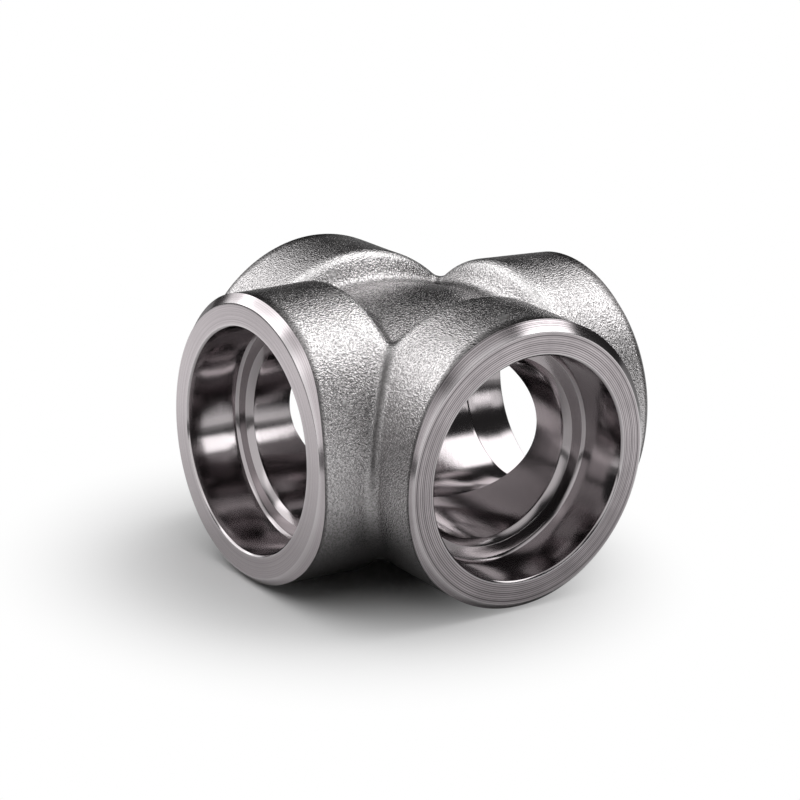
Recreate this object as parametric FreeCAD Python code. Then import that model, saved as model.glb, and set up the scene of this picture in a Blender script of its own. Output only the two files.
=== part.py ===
import FreeCAD, Part
import math
import os

# Forged pipe cross with four welding sockets for steel pipe of nominal size 2.
# The origin is where the two bore axes cross. The runs lie along X and Y, and Z is up.
# It is one steel forging: four round, slightly tapered bosses about a domed hub, with
# filleted crotches. Each end is machined with a flat face, a chamfer, a socket and a
# bevelled shoulder, and each run is bored right through.

V = FreeCAD.Vector

# Machined sizes, in millimetres
centre_to_face = 54.0      # crossing of the bore axes to each machined end face
socket_radius = 30.5       # takes a pipe of 60.3 outside diameter, with room to weld
socket_depth = 16.0        # end face to the shoulder that the pipe stops against
bore_radius = 24.6         # through bore, as wide as the inside of a thick-walled pipe
shoulder_bevel = 1.7       # bevel from the shoulder down into the bore
corner_bevel = 0.8         # small bevel where the socket wall meets the shoulder
mouth_break = 0.5          # broken edge at the socket's mouth
face_ring_radius = 36.9    # outside of the turned face, where the end chamfer starts

# Forged sizes, in millimetres and degrees
skin_rise = 0.5            # the forging sits this much above the machined axes
boss_end_radius = 39.0     # forged boss where the end face cuts it
boss_draft = 1.2           # taper of each boss, which grows towards the hub
crest_distance = 26.7      # centre to the inner shoulder of each boss, at its crest
crest_rounding = 4.5       # rounding of the crest
shoulder_slope = 57.0      # slope of the inner shoulder, down from the crest to the hub
dish_depth = 5.6           # boss crests down to the middle of the dome between them
dome_radius = 86.0         # curvature of the dome
hub_radius = 35.5          # outside of the hub, buried in the bosses
crotch_fillet = 3.0        # fillet where two neighbouring bosses meet
foot_fillet = 3.0          # fillet where a boss's shoulder meets the dome

# Turns of the four arms about Z
arm_turns = (0, 90, 180, 270)
# How far a cutting tool runs past the steel
tool_overrun = 6.0
# How near to a diagonal plane a point must be to count as on it
on_plane_within = 0.01

# Sizes that follow from those above
crest_radius = boss_end_radius + (centre_to_face - crest_distance) * math.tan(math.radians(boss_draft))
hub_half_height = crest_radius - dish_depth
# The seams of the turned surfaces are moved off the places where these surfaces cross
boss_seam_turn = 90
hub_seam_turn = 20


def turned(outline, axis, seam_turn=0):
    """The solid that a closed outline in the XZ plane sweeps in a full turn about an axis."""
    solid = Part.Face(Part.Wire(outline)).revolve(V(0, 0, 0), axis, 360)
    solid.rotate(V(0, 0, 0), axis, seam_turn)
    return solid


def straight_outline(points):
    """Straight edges through points of (distance along X, radius), closed."""
    corners = [V(distance, 0, radius) for distance, radius in points]
    return Part.makePolygon(corners + [corners[0]]).Edges


def rounded_corner(corner, way_in, way_out, radius):
    """The arc that rounds a corner, with its ends on the two lines that leave the corner."""
    half_angle = way_in.getAngle(way_out) / 2
    setback = radius / math.tan(half_angle)
    bisector = (way_in + way_out).normalize()
    middle = corner + bisector * (radius / math.sin(half_angle) - radius)
    return corner + way_in * setback, middle, corner + way_out * setback


def forged_boss():
    """One boss on +X: a tapered plug with a rounded crest and a sloping inner shoulder."""
    draft = math.radians(boss_draft)
    slope = math.radians(shoulder_slope)
    # The shoulder goes on down at its slope until it is well inside the hub
    root_radius = hub_half_height / 2
    root_distance = crest_distance - (crest_radius - root_radius) / math.tan(slope)
    crest = V(crest_distance, 0, crest_radius)
    along_taper = V(math.cos(draft), 0, -math.sin(draft))
    down_shoulder = V(-math.cos(slope), 0, -math.sin(slope))
    taper_end, crest_middle, shoulder_start = rounded_corner(
        crest, along_taper, down_shoulder, crest_rounding)
    face_edge = V(centre_to_face, 0, boss_end_radius)
    face_middle = V(centre_to_face, 0, 0)
    root_edge = V(root_distance, 0, root_radius)
    root_middle = V(root_distance, 0, 0)
    outline = [
        Part.makeLine(face_middle, face_edge),
        Part.makeLine(face_edge, taper_end),
        Part.Arc(taper_end, crest_middle, shoulder_start).toShape(),
        Part.makeLine(shoulder_start, root_edge),
        Part.makeLine(root_edge, root_middle),
        Part.makeLine(root_middle, face_middle),
    ]
    return turned(outline, V(1, 0, 0), boss_seam_turn)


def forged_hub():
    """The middle of the forging: a short drum about Z, domed above and below."""
    def on_dome(radius):
        drop = dome_radius - math.sqrt(dome_radius ** 2 - radius ** 2)
        return hub_half_height - drop

    def half_arc(side):
        points = [V(radius, 0, side * on_dome(radius)) for radius in (0, hub_radius / 2, hub_radius)]
        return Part.Arc(*points).toShape()

    top = V(0, 0, hub_half_height)
    top_rim = V(hub_radius, 0, on_dome(hub_radius))
    bottom_rim = V(hub_radius, 0, -on_dome(hub_radius))
    outline = [half_arc(1), Part.makeLine(top_rim, bottom_rim), half_arc(-1), Part.makeLine(-top, top)]
    return turned(outline, V(0, 0, 1), hub_seam_turn)


def on_diagonal(point):
    """True for a point that lies halfway between two neighbouring arms."""
    return abs(abs(point.x) - abs(point.y)) < on_plane_within


def crotch_edges(body):
    """The creases between neighbouring bosses, which lie in the two diagonal planes."""
    creases = []
    for edge in body.Edges:
        if edge.Degenerated:
            continue
        middle = edge.valueAt((edge.FirstParameter + edge.LastParameter) / 2)
        if on_diagonal(middle) and all(on_diagonal(vertex.Point) for vertex in edge.Vertexes):
            creases.append(edge)
    return creases


def foot_edges(body):
    """The edges where the domes meet anything else."""
    feet = []
    for edge in body.Edges:
        faces = body.ancestorsOfType(edge, Part.Face)
        domed = [isinstance(face.Surface, Part.Sphere) for face in faces]
        if any(domed) and not all(domed):
            feet.append(edge)
    return feet


def end_chamfer():
    """What is turned off the outside corner of the end face on +X, at 45 degrees."""
    end = centre_to_face + tool_overrun
    outline = [
        (end, face_ring_radius - tool_overrun),
        (end, face_ring_radius + tool_overrun),
        (centre_to_face - tool_overrun, face_ring_radius + tool_overrun),
    ]
    return turned(straight_outline(outline), V(1, 0, 0))


def forging():
    """The forging, raised to its place, with its four end corners already chamfered."""
    # The chamfers follow the machined axes, so they are cut off centre
    boss = forged_boss()
    boss.translate(V(0, 0, skin_rise))
    boss = boss.cut(end_chamfer())
    boss.translate(V(0, 0, -skin_rise))
    bosses = []
    for turn in arm_turns:
        turned_boss = boss.copy()
        turned_boss.rotate(V(0, 0, 0), V(0, 0, 1), turn)
        bosses.append(turned_boss)
    body = forged_hub().fuse(bosses).removeSplitter().Solids[0]
    body = body.makeFillet(crotch_fillet, crotch_edges(body))
    body = body.makeFillet(foot_fillet, foot_edges(body))
    body.translate(V(0, 0, skin_rise))
    return body


def run_bore():
    """What the boring bar removes along X: both sockets, shoulders and bevels, and the bore."""
    shoulder = centre_to_face - socket_depth
    end = centre_to_face + tool_overrun
    half = [
        (shoulder - shoulder_bevel, bore_radius),
        (shoulder, bore_radius + shoulder_bevel),
        (shoulder, socket_radius - corner_bevel),
        (shoulder + corner_bevel, socket_radius),
        (centre_to_face - mouth_break, socket_radius),
        (end, socket_radius + mouth_break + tool_overrun),
        (end, 0),
    ]
    mirrored = [(-distance, radius) for distance, radius in reversed(half)]
    return turned(straight_outline(mirrored + half), V(1, 0, 0))


def machined(body):
    """The forging with both runs bored through."""
    along_x = run_bore()
    along_y = run_bore()
    along_y.rotate(V(0, 0, 0), V(0, 0, 1), 90)
    return body.cut([along_x, along_y]).Solids[0]


os.makedirs("parts", exist_ok=True)
cross_body = machined(forging())
cross_body.exportStep("parts/cross_body.step")
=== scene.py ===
import math

import bpy
import numpy as np
from mathutils import Matrix, Vector


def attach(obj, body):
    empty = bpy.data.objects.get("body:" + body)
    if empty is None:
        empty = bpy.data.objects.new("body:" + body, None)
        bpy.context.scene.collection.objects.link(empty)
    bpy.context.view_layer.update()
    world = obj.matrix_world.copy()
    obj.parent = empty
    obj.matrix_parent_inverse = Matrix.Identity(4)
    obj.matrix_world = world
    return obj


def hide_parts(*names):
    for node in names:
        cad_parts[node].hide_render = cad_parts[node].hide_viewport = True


# A forged steel pipe cross on a pale studio floor. The forging and all its machined
# surfaces are one closed skin, worked out with numpy arm by arm and welded where the
# arms meet. Lengths of the cross are in millimetres until its mesh is made, and the
# studio's are in metres.

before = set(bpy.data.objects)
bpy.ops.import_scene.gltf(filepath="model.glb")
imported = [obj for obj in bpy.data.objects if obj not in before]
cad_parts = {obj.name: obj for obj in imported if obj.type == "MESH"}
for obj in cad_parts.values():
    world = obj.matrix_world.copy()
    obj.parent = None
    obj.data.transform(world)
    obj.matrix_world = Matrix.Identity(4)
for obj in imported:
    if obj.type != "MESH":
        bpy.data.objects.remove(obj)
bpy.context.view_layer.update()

METRES = 0.001

# Machined sizes
CENTRE_TO_FACE = 54.0
SOCKET_RADIUS = 30.5
SOCKET_DEPTH = 16.0
BORE_RADIUS = 24.6
SHOULDER_BEVEL = 1.7
CORNER_BEVEL = 0.8
MOUTH_BREAK = 0.5
FACE_RING_RADIUS = 36.9

# Forged sizes
SKIN_RISE = 0.5
BOSS_END_RADIUS = 39.0
BOSS_DRAFT = math.radians(1.2)
CREST_DISTANCE = 26.7
CREST_ROUNDING = 4.5
SHOULDER_SLOPE = math.radians(57.0)
DISH_DEPTH = 5.6
DOME_RADIUS = 86.0
DOME_REACH = 43.5
CROTCH_FILLET = 3.0
FOOT_FILLET = 3.0
CREST_RADIUS = BOSS_END_RADIUS + (CENTRE_TO_FACE - CREST_DISTANCE) * math.tan(BOSS_DRAFT)
DOME_HEIGHT = CREST_RADIUS - DISH_DEPTH

# How strongly the tool marked each arm, from 0 to 1, for +X, +Y, -X and -Y
GROOVE_DEPTHS = (1.0, 0.7, 0.7, 0.25)

# Rounding of the machined corners, the least width of a chamfer, and how far behind the end
# face the skin's radius is read for it
EDGE_ROUNDING = 0.14
LEAST_CHAMFER = 0.12
CHAMFER_READ_BEHIND = 2.0

# How far the socket's path runs on into the bore and out on the end face
BORE_RUN_ON = 1.0
FACE_RUN_ON = 0.5

# How finely the skin is divided: columns round an axis, and rows along it
COLUMNS = 376
BORE_ROWS = 6
SKIN_ROWS = 33
LONGEST_CUT_ROW = 7.0
FACE_ROWS = (0.35, 0.70, 0.9375, 1.0)
# Fine steps that rows and columns are spaced by, and what a radian of turning counts for
COLUMN_STEPS = 4001
ROW_STEPS = 301
COLUMN_TURNING = 7.0
ROW_TURNING = 5.0
# Radii between which the skin is searched for, and times that the search is halved
SEARCH_RADII = (20.0, 60.0)
HALVINGS = 44
# Edges that bend more than this are sharp, and how near to the bores' crossing a point is on it
SHARP_ANGLE = math.radians(28)
ON_CROSSING_WITHIN = 0.01

# Painted shade in a crotch, at a boss's foot and below a crotch: its share and half width
CROTCH_SHADE = (1.0, 2.1)
FOOT_SHADE = (0.55, 1.3)
LOW_SHADE = (1.0, 11.0)
# Shares of painted shade in the first rows of the skin, in the corner with the chamfer
CHAMFER_SHADE = (1.0, 0.75)
# Wear on a crest and on a machined corner: its share and half width
CREST_WEAR = (1.0, 2.6)
CORNER_WEAR = (0.45, 0.25)


def smooth_step(share):
    """A share from 0 to 1 that starts and ends gently: thrice its square less twice its cube."""
    return share * share * (3 - 2 * share)


def bell(distance, share, width):
    """A bell curve of a distance, as high as the share and e times lower at the half width."""
    return share * np.exp(-((distance / width) ** 2))


# The forged shape, as a distance


def boss_distance(along, out):
    """Distance outside one forged boss, from the distance along its axis and out from it.

    Two straight flanks, the tapered side and the sloping inner shoulder, meet in a round
    crest: beyond the flanks' normals the distance is to the crest's arc, and otherwise it
    is the larger of the distances to the two flanks.
    """
    side = (math.sin(BOSS_DRAFT), math.cos(BOSS_DRAFT))
    shoulder = (-math.sin(SHOULDER_SLOPE), math.cos(SHOULDER_SLOPE))
    to_side = (along - CREST_DISTANCE) * side[0] + (out - CREST_RADIUS) * side[1]
    to_shoulder = (along - CREST_DISTANCE) * shoulder[0] + (out - CREST_RADIUS) * shoulder[1]
    # The arc's centre lies the rounding's radius inside both flanks
    half_turn = (SHOULDER_SLOPE + BOSS_DRAFT) / 2
    middle = math.atan2(side[1] + shoulder[1], side[0] + shoulder[0])
    depth = CREST_ROUNDING / math.cos(half_turn)
    centre_along = CREST_DISTANCE - depth * math.cos(middle)
    centre_out = CREST_RADIUS - depth * math.sin(middle)
    from_along, from_out = along - centre_along, out - centre_out
    past_side = side[0] * from_out - side[1] * from_along
    past_shoulder = from_along * shoulder[1] - from_out * shoulder[0]
    round_crest = (past_side > 0) & (past_shoulder > 0)
    straight = np.maximum(to_side, to_shoulder)
    return np.where(round_crest, np.hypot(from_along, from_out) - CREST_ROUNDING, straight)


def joined(one, other, fillet):
    """Distance outside two joined solids, with a round fillet in the corner between them.

    It is the smaller of the two distances, and where both are less than the fillet's radius
    it is that radius less how far the point is from the fillet's axis.
    """
    near_one = np.maximum(fillet - one, 0)
    near_other = np.maximum(fillet - other, 0)
    return np.maximum(fillet, np.minimum(one, other)) - np.hypot(near_one, near_other)


def forging_distance(x, y, z):
    """Distance outside the whole forging: four bosses on X and Y joined to the domed hub."""
    x, y, z = np.abs(x), np.abs(y), np.abs(z - SKIN_RISE)
    bosses = joined(
        boss_distance(x, np.hypot(y, z)), boss_distance(y, np.hypot(x, z)), CROTCH_FILLET
    )
    across = np.hypot(x, y)
    dome = np.hypot(across, z - (DOME_HEIGHT - DOME_RADIUS)) - DOME_RADIUS
    return joined(bosses, np.maximum(dome, across - DOME_REACH), FOOT_FILLET)


def forging_normal(x, y, z):
    """Outward unit normal of the forging, from small differences of the distance."""
    step = 0.02
    slope = np.stack(
        [
            forging_distance(x + step, y, z) - forging_distance(x - step, y, z),
            forging_distance(x, y + step, z) - forging_distance(x, y - step, z),
            forging_distance(x, y, z + step) - forging_distance(x, y, z - step),
        ],
        -1,
    )
    return slope / np.linalg.norm(slope, axis=-1, keepdims=True)


def crossing(inside, outside, height):
    """Where a function of one number passes from below zero to above it, by halving."""
    for _ in range(HALVINGS):
        middle = (inside + outside) / 2
        under = height(middle) < 0
        inside = np.where(under, middle, inside)
        outside = np.where(under, outside, middle)
    return (inside + outside) / 2


# Unevenness of the forging


def lattice_value(ix, iy, iz, seed):
    """A fixed value from 0 to 1 for each corner of a cubic lattice, by mixing integers."""
    mixed = ix * 73856093 ^ iy * 19349663 ^ iz * 83492791 ^ seed * 2654435761
    mixed = (mixed ^ (mixed >> 13)) * 1274126177 & 0xFFFFFFFF
    mixed = (mixed ^ (mixed >> 16)) & 0xFFFF
    return mixed / 65535.0


def swelling(points, size, seed):
    """Smooth noise from -1 to 1: lattice values blended by the smooth step of the place."""
    place = points / size + 100.0
    corner = np.floor(place).astype(np.int64)
    part = smooth_step(place - corner)
    total = 0
    for dx in (0, 1):
        for dy in (0, 1):
            for dz in (0, 1):
                share = (
                    np.abs(1 - dx - part[..., 0])
                    * np.abs(1 - dy - part[..., 1])
                    * np.abs(1 - dz - part[..., 2])
                )
                cell = corner + (dx, dy, dz)
                total = total + share * lattice_value(*np.moveaxis(cell, -1, 0), seed)
    return total * 2 - 1


def unevenness(points):
    """Shallow swells that the dies leave all over the skin: a wide swelling plus a close one."""
    return 0.10 * swelling(points, 17.0, 3) + 0.05 * swelling(points, 7.0, 8)


# Wear at the ends of the arms +X, +Y, -X and -Y: the patches' middles and half widths in
# degrees, from the top towards the next arm, and their heights in millimetres
END_PATCHES = (
    [(-85, 55, -1.3), (85, 60, 0.3)],
    [(0, 60, 0.1)],
    [(0, 60, 0.1)],
    [(80, 45, -1.3), (135, 50, 0.4), (-80, 70, 0.35), (0, 60, -0.35)],
)


def end_swell(arm, angle):
    """How far the skin at an arm's end stands off its round shape, by angle from the top.

    A patch fades as the cosine of the angle from its middle, down to nothing at its edge.
    """
    total = np.zeros_like(angle)
    for centre, width, height in END_PATCHES[arm]:
        off = (np.degrees(angle) - centre + 180) % 360 - 180
        near = np.clip(np.abs(off) / width, 0, 1)
        total = total + height * (0.5 + 0.5 * np.cos(math.pi * near))
    return total


# The skin of an arm


def rounded_path(corners, radius, steps=2):
    """A path of straight runs whose inner corners are rounded, as (distance, radius) rows.

    A rounding starts and ends where a circle of the radius would touch the runs. Between
    them it blends start, corner and end by the squares of a share and of what is left.
    """
    path = [corners[0]]
    for before, corner, after in zip(corners, corners[1:], corners[2:]):
        way_in = np.subtract(before, corner)
        way_out = np.subtract(after, corner)
        way_in = way_in / np.linalg.norm(way_in)
        way_out = way_out / np.linalg.norm(way_out)
        half = math.acos(np.clip(way_in @ way_out, -1, 1)) / 2
        start = np.add(corner, way_in * radius / math.tan(half))
        end = np.add(corner, way_out * radius / math.tan(half))
        for step in range(steps + 1):
            share = step / steps
            middle = np.array(corner) * 2 * share * (1 - share)
            path.append(tuple(start * (1 - share) ** 2 + middle + end * share**2))
    path.append(corners[-1])
    return path


def divided(path, longest):
    """The same path with every run longer than a given length cut into equal parts."""
    rows = [path[0]]
    for before, after in zip(path, path[1:]):
        run = np.subtract(after, before)
        parts = max(1, math.ceil(math.dist(before, after) / longest))
        rows += [tuple(np.add(before, run * part / parts)) for part in range(1, parts + 1)]
    return rows


def column_angles():
    """Angles of the columns about an arm's axis, closer together where the creases turn.

    The crease between two arms is followed on a fine scale of angles. Its turning and the
    arc at the boss's radius add up to a running total, which the columns divide equally.
    """
    fine = np.linspace(0, math.pi, COLUMN_STEPS)
    reach = crease_radius(fine)
    flat = np.stack([reach * np.sin(fine) * math.sqrt(2), reach * np.cos(fine)], -1)
    run = np.diff(flat, axis=0)
    heading = np.unwrap(np.arctan2(run[:, 1], run[:, 0]))
    # The turning is averaged over a window of 12 steps to each side
    window = 12
    padded = np.pad(np.diff(heading), window, mode="edge")
    spread = 2 * window + 1
    turning = np.abs(np.convolve(padded, np.ones(spread) / spread, "valid"))
    pace = BOSS_END_RADIUS * np.diff(fine)[1:] + COLUMN_TURNING * turning
    total = np.concatenate([[0, pace[0]], pace[0] + np.cumsum(pace)])
    half = np.interp(np.linspace(0, total[-1], COLUMNS // 2 + 1), total, fine)
    return np.concatenate([half, 2 * math.pi - half[-2:0:-1]])


def crease_radius(angle):
    """Distance from an arm's axis to where the skin crosses the diagonal plane beside it."""
    side, up = np.abs(np.sin(angle)), np.cos(angle)
    inside, outside = (np.full(angle.shape, radius) for radius in SEARCH_RADII)
    return crossing(
        inside, outside, lambda reach: forging_distance(reach * side, reach * side, reach * up)
    )


def skin_radius(along, angle):
    """Distance from an arm's axis to the forged skin, at a distance along it and an angle."""
    side, up = np.sin(angle), np.cos(angle)
    inside, outside = (np.full(along.shape, radius) for radius in SEARCH_RADII)
    return crossing(
        inside, outside, lambda reach: forging_distance(along, reach * side, reach * up)
    )


def spread_rows(start, end, angle):
    """Distances along the arm for the skin's rows, closer together on its bends.

    Each column is sampled finely, its length plus its turning makes a running total, and
    the rows divide that total equally. All columns are read in one interpolation, each
    shifted by its own number.
    """
    fine = np.linspace(0, 1, ROW_STEPS)[:, None]
    along = start + (end - start) * fine
    radius = skin_radius(along, np.broadcast_to(angle, along.shape))
    heading = np.unwrap(np.arctan2(np.diff(radius, axis=0), np.diff(along, axis=0)), axis=0)
    length = np.hypot(np.diff(radius, axis=0), np.diff(along, axis=0))
    turning = np.abs(np.diff(heading, axis=0, prepend=heading[:1]))
    pace = np.cumsum(length + ROW_TURNING * turning, axis=0)
    total = np.concatenate([np.zeros((1, angle.size)), pace])
    # A column ends just short of the next one's number
    full = 0.999999
    total = total / total[-1] * full + np.arange(angle.size)
    wanted = np.linspace(0, full, SKIN_ROWS)[:, None] + np.arange(angle.size)
    rows = np.interp(wanted.T.ravel(), total.T.ravel(), along.T.ravel())
    return rows.reshape(angle.size, SKIN_ROWS).T


def on_arm(arm, angle, along, radius):
    """Points at distances along an arm's axis and radii from it, one for every angle.

    Each is at (distance, radius x sine, radius x cosine), turned about Z to the arm.
    """
    turn = arm * math.pi / 2
    aside = radius * np.sin(angle)
    x = along * math.cos(turn) - aside * math.sin(turn)
    y = along * math.sin(turn) + aside * math.cos(turn)
    return np.stack([x, y, radius * np.cos(angle)], -1)


def socket_path():
    """The cut surface from the bore over the shoulder to the end face, as (distance, radius)."""
    shoulder = CENTRE_TO_FACE - SOCKET_DEPTH
    bevel_start = shoulder - SHOULDER_BEVEL
    corners = [
        (bevel_start - BORE_RUN_ON, BORE_RADIUS),
        (bevel_start, BORE_RADIUS),
        (shoulder, BORE_RADIUS + SHOULDER_BEVEL),
        (shoulder, SOCKET_RADIUS - CORNER_BEVEL),
        (shoulder + CORNER_BEVEL, SOCKET_RADIUS),
        (CENTRE_TO_FACE - MOUTH_BREAK, SOCKET_RADIUS),
        (CENTRE_TO_FACE, SOCKET_RADIUS + MOUTH_BREAK),
        (CENTRE_TO_FACE, SOCKET_RADIUS + MOUTH_BREAK + FACE_RUN_ON),
    ]
    return np.array(divided(rounded_path(corners, EDGE_ROUNDING), LONGEST_CUT_ROW))


def end_rows(face_start, rim_along, rim_radius):
    """The end face out to its ring, a small rounding and the chamfer, as (distance, radius)."""
    ring = rim_radius - (CENTRE_TO_FACE - rim_along)
    face_width = ring - EDGE_ROUNDING - face_start
    flat = np.full(ring.shape, CENTRE_TO_FACE)
    rows = [(flat, face_start + face_width * share) for share in FACE_ROWS]
    # The ring's corner and the chamfer's middle are drawn in a little
    corner = EDGE_ROUNDING * 0.3
    rows.append((flat - corner, ring + corner * 0.2))
    middle = ((rim_along + CENTRE_TO_FACE) / 2, (ring + rim_radius) / 2)
    rows.append((middle[0] - corner, middle[1] - corner * 0.2))
    return (np.array(row) for row in zip(*rows))


def skin_rows(arm, angle, rim_along, rim_radius):
    """The forged skin, from the chamfer back to the diagonal planes.

    The round forging's points move along its normal by its unevenness, and by the wear of
    the arm's end, which fades out with a smooth step towards the crest.
    """
    inner_end = crease_radius(angle) * np.abs(np.sin(angle))
    along = spread_rows(rim_along, inner_end, angle)
    radius = skin_radius(along, np.broadcast_to(angle, along.shape))
    radius[-1] = crease_radius(angle)
    fade_start = np.maximum(inner_end, CREST_DISTANCE)
    fade = smooth_step(np.clip((along - fade_start) / (rim_along - fade_start), 0, 1))
    skin = on_arm(arm, angle, along, radius)
    swell = unevenness(skin) + end_swell(arm, angle) * fade
    skin = skin + forging_normal(*np.moveaxis(skin, -1, 0)) * swell[..., None]
    skin[0] = on_arm(arm, angle, rim_along, rim_radius)
    return skin


def arm_surface(arm):
    """One arm as a grid of points, with rows along it and columns round its axis.

    Rows run from the bores' crossing edge out of the bore, over the end and back along the
    skin to the diagonal planes. Returns the points, the way along the cut surface in every
    row, the row where the forged skin begins and the row where the end face begins.
    """
    angle = column_angles()
    inner = socket_path()
    # The bore, from the edge where it crosses the other bore
    edge = BORE_RADIUS * np.abs(np.sin(angle))
    share = np.linspace(0, 1, BORE_ROWS + 1)[:-1, None]
    bore_along = edge + (inner[0, 0] - edge) * share
    bore = on_arm(arm, angle, bore_along, np.full(bore_along.shape, BORE_RADIUS))
    socket = on_arm(arm, angle, *(np.repeat(inner[:, [part]], angle.size, 1) for part in (0, 1)))
    # The skin near the end face sets how wide the chamfer is
    near_face = np.full(angle.shape, CENTRE_TO_FACE - CHAMFER_READ_BEHIND)
    skin = skin_radius(near_face, angle)
    uneven = unevenness(on_arm(arm, angle, near_face, skin))
    rim_radius = skin + end_swell(arm, angle) + uneven
    chamfer = np.maximum(rim_radius - FACE_RING_RADIUS, LEAST_CHAMFER)
    rim_along = CENTRE_TO_FACE - chamfer
    end = on_arm(arm, angle, *end_rows(inner[-1, 1], rim_along, rim_radius))
    skin = skin_rows(arm, angle, rim_along, rim_radius)
    points = np.concatenate([bore, socket, end, skin])
    # The way along the cut surface, which the turning marks follow
    way = np.linalg.norm(np.diff(points[:, 0], axis=0), axis=-1)
    way = np.concatenate([[0], np.cumsum(way)])
    face_row = len(bore) + len(socket) - 2
    return points, np.repeat(way[:, None], angle.size, 1), len(points) - SKIN_ROWS, face_row


def painted_shade_share(points):
    """How much painted shade each point of the skin takes, from 0 to 1.

    The first part is a bell curve of the difference between the distances to two forms that
    meet there: two neighbouring bosses in a crotch, and a boss and the dome at the boss's
    foot. The second spreads from the crotches below the bores, and the third grows as the
    skin turns to face the ground.
    """
    x, y, z = np.moveaxis(points, -1, 0)
    x, y, up = np.abs(x), np.abs(y), np.abs(z - SKIN_RISE)
    along_x, along_y = boss_distance(x, np.hypot(y, up)), boss_distance(y, np.hypot(x, up))
    across = np.hypot(x, y)
    dome = np.hypot(across, up - (DOME_HEIGHT - DOME_RADIUS)) - DOME_RADIUS
    at_dome = np.where(across < DOME_REACH - FOOT_FILLET, dome, np.inf)
    crotch = bell(along_x - along_y, *CROTCH_SHADE)
    # Only close to the bosses, and less below the bores
    crotch = crotch * np.clip((2.5 - along_x) / 1.5, 0, 1) * np.clip((z + 16) / 20, 0.4, 1)
    foot = bell(np.minimum(along_x, along_y) - at_dome, *FOOT_SHADE)
    # More the lower it lies, and only outside the hub
    low = bell((x - y) / math.sqrt(2), *LOW_SHADE) * np.clip(-z / 24, 0.3, 0.8)
    low = low * np.clip((across - 36) / 6, 0, 1)
    upward = forging_normal(*np.moveaxis(points, -1, 0))[..., 2]
    facing_down = np.clip((-0.05 - upward) / 0.75, 0, 1)
    return np.maximum.reduce([crotch, foot, low, facing_down])


def edge_wear(points):
    """Where handling has rubbed the steel bright, from 0 to 1.

    It falls off as a bell curve of the distance from the circles of each arm: the forged
    crest, and the corners of the end face and of the socket's mouth.
    """
    x, y, z = np.moveaxis(points, -1, 0)
    along, across = np.maximum(np.abs(x), np.abs(y)), np.minimum(np.abs(x), np.abs(y))
    skin_out, cut_out = np.hypot(across, z - SKIN_RISE), np.hypot(across, z)
    wear = bell(np.hypot(along - CREST_DISTANCE, skin_out - CREST_RADIUS), *CREST_WEAR)
    for radius in (FACE_RING_RADIUS, SOCKET_RADIUS + MOUTH_BREAK):
        off_corner = np.hypot(along - CENTRE_TO_FACE, cut_out - radius)
        wear = np.maximum(wear, bell(off_corner, *CORNER_WEAR))
    return wear


def grid_quads(rows, columns):
    """Quads between each row of a grid and the next, closed round the axis, and their rows."""
    row, column = np.meshgrid(np.arange(rows - 1), np.arange(columns), indexing="ij")
    after = (column + 1) % columns
    here, beyond = row * columns, (row + 1) * columns
    quads = np.stack([here + column, here + after, beyond + after, beyond + column], -1)
    return quads.reshape(-1, 4), row.ravel()


def sharpen(mesh, points):
    """Sharp edges where the surface bends, and all along the edge where the bores cross.

    That edge flattens out at its ends, so it is found by its place: halfway between two
    arms and at the bore's radius.
    """
    mesh.set_sharp_from_angle(angle=SHARP_ANGLE)
    x, y, z = np.abs(points.T)
    off_bore = np.hypot(np.minimum(x, y), z) - BORE_RADIUS
    on_crossing = np.maximum(np.abs(x - y), np.abs(off_bore)) < ON_CROSSING_WITHIN
    ends = np.empty(len(mesh.edges) * 2, dtype=np.int32)
    sharp = np.empty(len(mesh.edges), dtype=bool)
    mesh.edges.foreach_get("vertices", ends)
    mesh.edges.foreach_get("use_edge_sharp", sharp)
    sharp |= on_crossing[ends.reshape(-1, 2)].all(axis=1)
    mesh.edges.foreach_set("use_edge_sharp", sharp)


def cross_mesh():
    """The four arms welded into one closed mesh, with its faces outwards.

    Points of neighbouring arms that fall together in the diagonal planes become one.
    """
    grids, ways, arms, rims = [], [], [], []
    for arm in range(4):
        points, way, skin_row, face_row = arm_surface(arm)
        grids.append(points.reshape(-1, 3))
        ways.append(way)
        arms.append(np.full(way.shape, arm))
        rims.append(np.zeros(way.shape))
        # Painted shade on the first two rows of the skin, beside the chamfer
        rims[-1][skin_row : skin_row + 2] = np.array(CHAMFER_SHADE)[:, None]
    quads, row = grid_quads(*way.shape)
    quads = np.concatenate([quads + arm * way.size for arm in range(4)])
    # Bored steel as far as the end face, then turned steel, then forged skin
    finish = (row >= face_row).astype(np.int32) + (row >= skin_row)
    points = np.concatenate(grids)
    _, first, merged = np.unique(
        np.round(points, 3), axis=0, return_index=True, return_inverse=True
    )
    quads = merged.ravel()[quads]
    points = points[first]
    way, arm, rim = (np.concatenate(grid).ravel()[first] for grid in (ways, arms, rims))
    # Faces wind so that the volume they enclose comes out positive
    corners = [points[quads[:, corner]] for corner in range(3)]
    if np.einsum("ij,ij->i", corners[0], np.cross(corners[1], corners[2])).sum() < 0:
        quads = quads[:, ::-1]
    mesh = bpy.data.meshes.new("cross_body_steel")
    mesh.vertices.add(len(points))
    mesh.vertices.foreach_set("co", (points * METRES).ravel())
    mesh.loops.add(quads.size)
    mesh.loops.foreach_set("vertex_index", quads.ravel())
    mesh.polygons.add(len(quads))
    mesh.polygons.foreach_set("loop_start", np.arange(0, quads.size, 4))
    mesh.polygons.foreach_set("material_index", np.tile(finish, 4))
    mesh.update(calc_edges=True)
    mesh.shade_smooth()
    sharpen(mesh, points)
    for name, values in (
        ("cut_way", way),
        ("arm_number", arm),
        ("groove_depth", np.array(GROOVE_DEPTHS)[arm]),
        # Painted shade of the skin, beside the chamfers too
        ("painted_shade", np.maximum(painted_shade_share(points), rim)),
        ("edge_wear", edge_wear(points)),
    ):
        layer = mesh.attributes.new(name, "FLOAT", "POINT")
        layer.data.foreach_set("value", values.astype(np.float32))
    mesh.validate()
    return mesh


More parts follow.
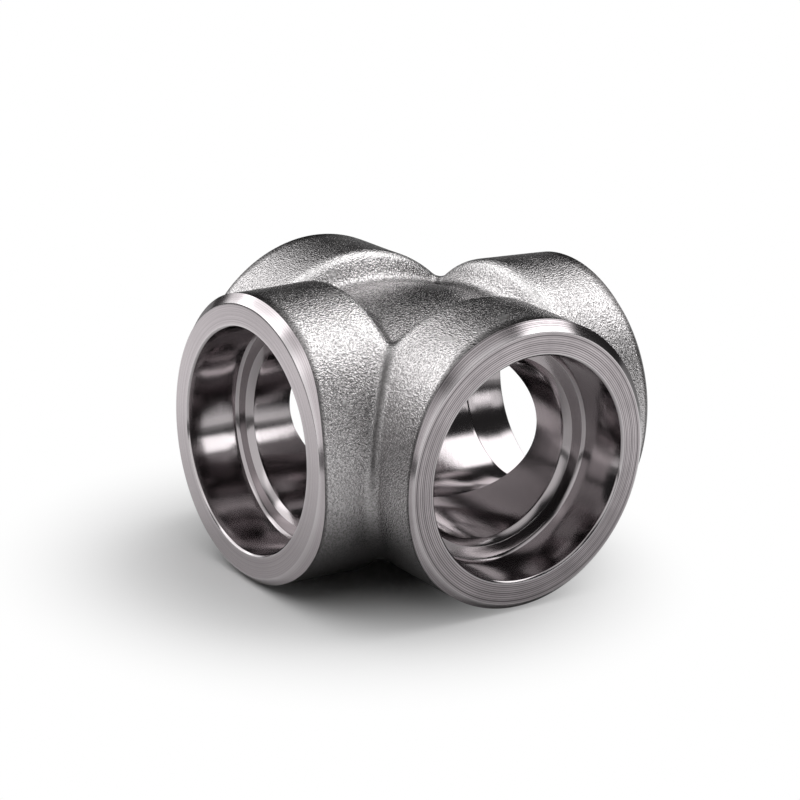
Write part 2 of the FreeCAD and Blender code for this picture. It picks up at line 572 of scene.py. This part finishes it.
# Finishes


def add_node(tree, kind, inputs=None, **settings):
    """A new shader node with its settings, and its inputs set to values or joined to sockets."""
    node = tree.nodes.new(kind)
    for key, value in settings.items():
        setattr(node, key, value)
    for key, value in (inputs or {}).items():
        if isinstance(value, bpy.types.NodeSocket):
            tree.links.new(value, node.inputs[key])
        else:
            node.inputs[key].default_value = value
    return node


def new_group(name, inputs, outputs):
    """A shader node group with named inputs and outputs, and the sockets of both inside it."""
    group = bpy.data.node_groups.new(name, "ShaderNodeTree")
    for label, kind, value in inputs:
        socket = group.interface.new_socket(label, in_out="INPUT", socket_type=kind)
        if value is not None:
            socket.default_value = value
    for label, kind in outputs:
        group.interface.new_socket(label, in_out="OUTPUT", socket_type=kind)
    given = group.nodes.new("NodeGroupInput").outputs
    return group, given, group.nodes.new("NodeGroupOutput").inputs


def math_node(tree, operation, *values):
    """The result of one operation on values or sockets."""
    return add_node(
        tree, "ShaderNodeMath", dict(enumerate(values)), operation=operation
    ).outputs[0]


def remapped(tree, value, source, target=(0.0, 1.0), smooth=True):
    """A value moved from a source range to a target range and held at its ends."""
    node = add_node(
        tree,
        "ShaderNodeMapRange",
        {
            "Value": value,
            "From Min": source[0],
            "From Max": source[1],
            "To Min": target[0],
            "To Max": target[1],
        },
        interpolation_type="SMOOTHSTEP" if smooth else "LINEAR",
    )
    return node.outputs["Result"]


def noise(tree, place, scale, detail, roughness):
    """Soft noise in space, from a place and its scale per metre."""
    inputs = {"Vector": place, "Scale": scale, "Detail": detail, "Roughness": roughness}
    return add_node(tree, "ShaderNodeTexNoise", inputs).outputs["Fac"]


def noise_along(tree, way, scale, detail, roughness):
    """Soft noise along a line, from the way along it."""
    inputs = {"W": way, "Scale": scale, "Detail": detail, "Roughness": roughness}
    return add_node(tree, "ShaderNodeTexNoise", inputs, noise_dimensions="1D").outputs["Fac"]


def reach_along(tree, place, direction):
    """How far a place lies along a direction, as their dot product."""
    node = add_node(
        tree, "ShaderNodeVectorMath", {0: place, 1: direction}, operation="DOT_PRODUCT"
    )
    return node.outputs["Value"]


def pebble_grain_group():
    """Blasted forging skin: close pebbles with pits between them, and a slow cloudiness."""
    group, given, result = new_group(
        "Pebble grain",
        [("Place", "NodeSocketVector", None), ("Pebble size (mm)", "NodeSocketFloat", 0.9)],
        [("Height", "NodeSocketFloat"), ("Pits", "NodeSocketFloat"), ("Cloud", "NodeSocketFloat")],
    )
    per_metre = math_node(group, "DIVIDE", 1000.0, given["Pebble size (mm)"])
    coarse = noise(group, given["Place"], per_metre, 2.0, 0.6)
    # A closer noise in another direction breaks up the first one's lattice
    turned = add_node(
        group, "ShaderNodeMapping", {"Vector": given["Place"], "Rotation": (0.6, 0.9, 0.4)}
    )
    closer = math_node(group, "MULTIPLY", per_metre, 1.4)
    close = noise(group, turned.outputs["Vector"], closer, 1.0, 0.5)
    pebbles = math_node(group, "ADD", math_node(group, "MULTIPLY", close, 0.55), coarse)
    pebbles = math_node(group, "SUBTRACT", pebbles, 0.275)
    group.links.new(pebbles, result["Height"])
    group.links.new(remapped(group, pebbles, (0.36, 0.60), (1.0, 0.0)), result["Pits"])
    group.links.new(noise(group, given["Place"], 120.0, 3.0, 0.5), result["Cloud"])
    return group


def turning_marks_group():
    """Grooves that a cutting tool leaves, all running round the arm's axis.

    The grooves come once in every feed, a little unevenly, and fine streaks lie between them.
    Smudges of old cutting oil lie over both.
    """
    group, given, result = new_group(
        "Turning marks",
        [
            ("Way (mm)", "NodeSocketFloat", 0.0),
            ("Arm", "NodeSocketFloat", 0.0),
            ("Feed (mm)", "NodeSocketFloat", 0.5),
            ("Place", "NodeSocketVector", None),
        ],
        [
            ("Groove", "NodeSocketFloat"),
            ("Streak", "NodeSocketFloat"),
            ("Smudge", "NodeSocketFloat"),
        ],
    )
    step = math_node(group, "DIVIDE", given["Way (mm)"], given["Feed (mm)"])
    shifted = math_node(group, "ADD", step, math_node(group, "MULTIPLY", given["Arm"], 53.7))
    turns = math_node(group, "ADD", shifted, noise_along(group, shifted, 0.7, 1.0, 0.5))
    wave = math_node(group, "COSINE", math_node(group, "MULTIPLY", turns, 2 * math.pi))
    streak = noise_along(group, math_node(group, "MULTIPLY", shifted, 2.3), 1.0, 3.0, 0.6)
    oily = noise(group, given["Place"], 90.0, 4.0, 0.6)
    smudge = remapped(group, oily, (0.35, 0.70), (0.12, 0.47), smooth=False)
    group.links.new(remapped(group, wave, (-0.2, 1.0)), result["Groove"])
    group.links.new(streak, result["Streak"])
    group.links.new(smudge, result["Smudge"])
    return group


def worn_edges_group():
    """Steel that handling has rubbed brighter, where the mesh's edge_wear says so."""
    group, given, result = new_group(
        "Worn edges",
        [
            ("Colour", "NodeSocketColor", (0.5, 0.5, 0.5, 1.0)),
            ("Rubbed colour", "NodeSocketColor", (0.8, 0.8, 0.8, 1.0)),
            ("Amount", "NodeSocketFloat", 1.0),
        ],
        [("Colour", "NodeSocketColor")],
    )
    share = math_node(group, "MULTIPLY", attribute(group, "edge_wear"), given["Amount"])
    rubbed = mix_colour(group, share, given["Colour"], given["Rubbed colour"])
    group.links.new(rubbed, result["Colour"])
    return group


def attribute(tree, name):
    """A value that the mesh keeps at each point."""
    return add_node(tree, "ShaderNodeAttribute", attribute_name=name).outputs["Fac"]


def new_material(name):
    """A new material with its tree and its one shader, joined to the output."""
    material = bpy.data.materials.new(name)
    material.use_nodes = True
    tree = material.node_tree
    tree.nodes.clear()
    output = tree.nodes.new("ShaderNodeOutputMaterial")
    steel = tree.nodes.new("ShaderNodeBsdfPrincipled")
    tree.links.new(steel.outputs["BSDF"], output.inputs["Surface"])
    return material, tree, steel


def mix_colour(tree, share, first, second):
    """A colour from a first to a second one, each a value or a socket, by a share from 0 to 1."""
    mix = tree.nodes.new("ShaderNodeMix")
    mix.data_type = "RGBA"
    tree.links.new(share, mix.inputs[0])
    for socket, end in ((mix.inputs[6], first), (mix.inputs[7], second)):
        if isinstance(end, bpy.types.NodeSocket):
            tree.links.new(end, socket)
        else:
            socket.default_value = (*end, 1.0)
    return mix.outputs[2]


def worn(tree, edges, colour, rubbed, amount):
    """A colour after the worn edges, with this material's rubbed colour and amount."""
    wear = add_node(tree, "ShaderNodeGroup", node_tree=edges)
    tree.links.new(colour, wear.inputs["Colour"])
    wear.inputs["Rubbed colour"].default_value = (*rubbed, 1.0)
    wear.inputs["Amount"].default_value = amount
    return wear.outputs["Colour"]


def forged_skin_material(pebbles, edges):
    """Satin grey steel with a pebbled grain, darker in its pits and in painted shade."""
    material, tree, steel = new_material("forged_skin")
    place = tree.nodes.new("ShaderNodeTexCoord").outputs["Object"]
    grain = add_node(tree, "ShaderNodeGroup", node_tree=pebbles)
    tree.links.new(place, grain.inputs["Place"])
    grain.inputs["Pebble size (mm)"].default_value = 0.6
    steel.inputs["Metallic"].default_value = 1.0
    colour = mix_colour(tree, grain.outputs["Pits"], (0.69, 0.668, 0.672), (0.42, 0.407, 0.408))
    # Painted shade: the skin darkens towards near black in crotches, at feet, beside chamfers and
    # underneath
    dark = math_node(tree, "MULTIPLY", attribute(tree, "painted_shade"), 0.9)
    colour = mix_colour(tree, dark, colour, (0.06, 0.056, 0.056))
    colour = worn(tree, edges, colour, (0.80, 0.785, 0.785), 0.5)
    tree.links.new(colour, steel.inputs["Base Color"])
    rough = remapped(tree, grain.outputs["Cloud"], (0.3, 0.7), (0.20, 0.28), smooth=False)
    tree.links.new(rough, steel.inputs["Roughness"])
    bump = add_node(
        tree,
        "ShaderNodeBump",
        {"Strength": 1.0, "Distance": 0.00024, "Height": grain.outputs["Height"]},
    )
    tree.links.new(bump.outputs["Normal"], steel.inputs["Normal"])
    return material


def cut_steel_material(name, marks, edges, feed, light, dark, grooving, smooth, rough):
    """Bright cut steel with the grooves of the tool, at a feed in millimetres.

    The share of the dark groove colour follows the mesh's groove_depth, times a grooving
    from 0 to 1. Roughness runs from smooth to rough with the fine streaks.
    """
    material, tree, steel = new_material(name)
    rings = add_node(tree, "ShaderNodeGroup", node_tree=marks)
    tree.links.new(attribute(tree, "cut_way"), rings.inputs["Way (mm)"])
    tree.links.new(attribute(tree, "arm_number"), rings.inputs["Arm"])
    rings.inputs["Feed (mm)"].default_value = feed
    place = tree.nodes.new("ShaderNodeTexCoord").outputs["Object"]
    tree.links.new(place, rings.inputs["Place"])
    steel.inputs["Metallic"].default_value = 1.0
    deep = math_node(tree, "MULTIPLY", attribute(tree, "groove_depth"), grooving)
    marked = math_node(tree, "MAXIMUM", rings.outputs["Groove"], rings.outputs["Smudge"])
    colour = mix_colour(tree, math_node(tree, "MULTIPLY", marked, deep), light, dark)
    colour = worn(tree, edges, colour, (0.82, 0.79, 0.80), 1.0)
    tree.links.new(colour, steel.inputs["Base Color"])
    roughness = remapped(tree, rings.outputs["Streak"], (0.3, 0.7), (smooth, rough), smooth=False)
    tree.links.new(roughness, steel.inputs["Roughness"])
    bump = add_node(
        tree,
        "ShaderNodeBump",
        {"Strength": 0.25, "Distance": 0.00002, "Height": rings.outputs["Streak"]},
    )
    tree.links.new(bump.outputs["Normal"], steel.inputs["Normal"])
    return material


# How far the floor reaches from the object's middle, and its squares along a side
FLOOR_REACH = 6.0
FLOOR_SQUARES = 8
# The floor's unlit part, as the camera sees it and as the steel mirrors it: its middle, and
# the distances from there where it starts to turn white and has done so
SHADOW = ((0.0, -0.022, 0.0), (0.045, 0.108))
MIRRORED_SHADOW = ((0.05, -0.05, 0.0), (0.11, 0.24))
# Level way towards the darker side of the studio, behind the object
DARK_WAY = (-math.sqrt(0.5), math.sqrt(0.5), 0.0)


def studio_floor(height):
    """A large flat floor, as a grid that is plain white to the camera away from the object.

    The steel mirrors it as white from further out. There it is darker behind the object and
    far in front of it, where the real studio is dark.
    """
    ticks = np.linspace(-FLOOR_REACH, FLOOR_REACH, FLOOR_SQUARES + 1)
    x, y = np.meshgrid(ticks, ticks, indexing="ij")
    points = np.stack([x, y, np.full(x.shape, height)], -1).reshape(-1, 3)
    square = np.arange(FLOOR_SQUARES)
    first = (square[:, None] * ticks.size + square).ravel()
    beyond = first + ticks.size
    quads = np.stack([first, beyond, beyond + 1, first + 1], -1)
    mesh = bpy.data.meshes.new("studio_floor")
    mesh.from_pydata(points.tolist(), [], quads.tolist())
    floor = bpy.data.objects.new("studio_floor", mesh)
    bpy.context.scene.collection.objects.link(floor)
    material = bpy.data.materials.new("floor_paper")
    material.use_nodes = True
    tree = material.node_tree
    tree.nodes.clear()
    output = tree.nodes.new("ShaderNodeOutputMaterial")
    paper = add_node(tree, "ShaderNodeBsdfDiffuse", {"Color": (0.75, 0.75, 0.75, 1.0)})
    white = add_node(tree, "ShaderNodeEmission", {"Color": (1.0, 1.0, 1.0, 1.0)})
    place = tree.nodes.new("ShaderNodeTexCoord").outputs["Object"]

    def white_share(shadow, seen):
        """The white outside a shadow, for one kind of ray."""
        middle, fade = shadow
        away = add_node(tree, "ShaderNodeVectorMath", {0: place, 1: middle}, operation="DISTANCE")
        return math_node(tree, "MULTIPLY", remapped(tree, away.outputs["Value"], fade), seen)

    path = tree.nodes.new("ShaderNodeLightPath")
    by_camera, mirrored = path.outputs["Is Camera Ray"], path.outputs["Is Glossy Ray"]
    lit = remapped(tree, reach_along(tree, place, DARK_WAY), (0.09, 0.20), (1.0, 0.25))
    before = add_node(tree, "ShaderNodeSeparateXYZ", {0: place}).outputs["Y"]
    lit = math_node(tree, "MULTIPLY", lit, remapped(tree, before, (-0.25, -0.185), (0.15, 1.0)))
    tree.links.new(math_node(tree, "MAXIMUM", lit, by_camera), white.inputs["Strength"])
    straight = white_share(SHADOW, by_camera)
    share = math_node(tree, "ADD", straight, white_share(MIRRORED_SHADOW, mirrored))
    blend = add_node(tree, "ShaderNodeMixShader")
    tree.links.new(share, blend.inputs[0])
    tree.links.new(paper.outputs[0], blend.inputs[1])
    tree.links.new(white.outputs[0], blend.inputs[2])
    tree.links.new(blend.outputs[0], output.inputs["Surface"])
    mesh.materials.append(material)


# The studio's soft boxes: azimuth of their middle from +X towards +Y and height above the
# horizon, half widths out to where the light ends and starts to fade, and brightness
SOFT_BOXES = (
    ((-90, 78), 44, 34, 0.90),
    ((-152, 42), 27, 21, 1.65),
    ((90, 52), 24, 18, 2.95),
    ((-172, 22), 16, 8, 1.2),
    ((15, 16), 9, 5, 2.6),
    ((29, 16), 9, 5, 2.6),
    ((43, 16), 9, 5, 1.3),
)
# A low, wide box on the camera's side that only the steel mirrors, in the same terms
MIRRORED_BOX = ((-68, 22), 38, 20, 1.0)
ROOM_LIGHT = 0.03


def studio_world():
    """Soft boxes overhead and beside the object, in a dim room that the camera sees as white.

    The steel mirrors one more box and a pale strip above the horizon. The strip ends on the
    dark side behind the object and on the camera's own side.
    """
    world = bpy.data.worlds.new("studio")
    bpy.context.scene.world = world
    world.use_nodes = True
    tree = world.node_tree
    tree.nodes.clear()
    output = tree.nodes.new("ShaderNodeOutputWorld")
    back = add_node(tree, "ShaderNodeBackground", {"Color": (1.0, 1.0, 1.0, 1.0)})
    way = tree.nodes.new("ShaderNodeTexCoord").outputs["Generated"]

    def box_light(aim, end, start, bright):
        """A soft box, bright up to the start angle from its middle and gone at the end angle."""
        azimuth, height = (math.radians(angle) for angle in aim)
        level = math.cos(height)
        middle = (level * math.cos(azimuth), level * math.sin(azimuth), math.sin(height))
        fade = (math.cos(math.radians(end)), math.cos(math.radians(start)))
        return remapped(tree, reach_along(tree, way, middle), fade, (0.0, bright))

    strength = ROOM_LIGHT
    for soft_box in SOFT_BOXES:
        strength = math_node(tree, "ADD", box_light(*soft_box), strength)
    apart = add_node(tree, "ShaderNodeSeparateXYZ", {0: way})
    horizon = remapped(tree, apart.outputs["Z"], (0.02, 0.12), (0.35, 0.0))
    lit = remapped(tree, reach_along(tree, way, DARK_WAY), (0.3, 0.7), (1.0, 0.0))
    horizon = math_node(tree, "MULTIPLY", horizon, lit)
    lit = remapped(tree, apart.outputs["Y"], (-0.75, -0.60))
    horizon = math_node(tree, "MULTIPLY", horizon, lit)
    path = tree.nodes.new("ShaderNodeLightPath")
    mirrored = math_node(tree, "ADD", horizon, box_light(*MIRRORED_BOX))
    mirrored = math_node(tree, "MULTIPLY", mirrored, path.outputs["Is Glossy Ray"])
    strength = math_node(tree, "ADD", strength, mirrored)
    seen = {0: path.outputs["Is Camera Ray"], 2: strength, 3: 1.0}
    plain = add_node(tree, "ShaderNodeMix", seen, data_type="FLOAT")
    tree.links.new(plain.outputs[0], back.inputs["Strength"])
    tree.links.new(back.outputs[0], output.inputs["Surface"])


# The camera's turn about Z, its rise and its roll, and in millimetres how far it stands away
# from the bores' crossing, to its own right and above
CAMERA_ANGLES = (math.radians(54.80), math.radians(17.478), math.radians(2.411))
CAMERA_PLACE = (621.56, -3.308, 3.568)
CAMERA_LENS = 100.855
CAMERA_SENSOR = 36.0


def place_camera():
    """The camera at the photograph's viewing angle, aimed near the crossing of the bores."""
    turn, rise, roll = CAMERA_ANGLES
    away, aside, above = CAMERA_PLACE
    level = Vector((math.cos(turn), math.sin(turn), 0.0))
    flat = math.cos(rise)
    back = Vector((math.sin(turn) * flat, -math.cos(turn) * flat, math.sin(rise)))
    upright = back.cross(level)
    right = level * math.cos(roll) + upright * math.sin(roll)
    up = upright * math.cos(roll) - level * math.sin(roll)
    camera = bpy.data.cameras.new("camera")
    camera.lens = CAMERA_LENS
    camera.sensor_width = CAMERA_SENSOR
    camera.clip_start = 0.01
    camera.clip_end = 100.0
    holder = bpy.data.objects.new("camera", camera)
    bpy.context.scene.collection.objects.link(holder)
    pose = Matrix((right, up, back)).transposed().to_4x4()
    pose.translation = (back * away + right * aside + up * above) * METRES
    holder.matrix_world = pose
    bpy.context.scene.camera = holder


mesh = cross_mesh()
marks = turning_marks_group()
edges = worn_edges_group()
bored_steel_painted_shade = cut_steel_material(
    "bored_steel_painted_shade",
    marks,
    edges,
    feed=0.30,
    # Darker than the turned steel: painted shade inside the sockets and bores
    light=(0.42, 0.39, 0.398),
    dark=(0.26, 0.238, 0.245),
    grooving=0.5,
    smooth=0.09,
    rough=0.15,
)
turned_steel = cut_steel_material(
    "turned_steel",
    marks,
    edges,
    feed=0.56,
    light=(0.555, 0.51, 0.525),
    dark=(0.12, 0.108, 0.113),
    grooving=0.9,
    smooth=0.12,
    rough=0.22,
)
forged_skin = forged_skin_material(pebble_grain_group(), edges)
for material in (bored_steel_painted_shade, turned_steel, forged_skin):
    mesh.materials.append(material)
cross_body = bpy.data.objects.new("cross_body_steel", mesh)
bpy.context.scene.collection.objects.link(cross_body)
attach(cross_body, "root")
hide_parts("cross_body")

lowest = min(corner[2] for corner in cross_body.bound_box)
studio_floor(lowest)
studio_world()
place_camera()
bpy.context.scene.view_settings.view_transform = "Standard"
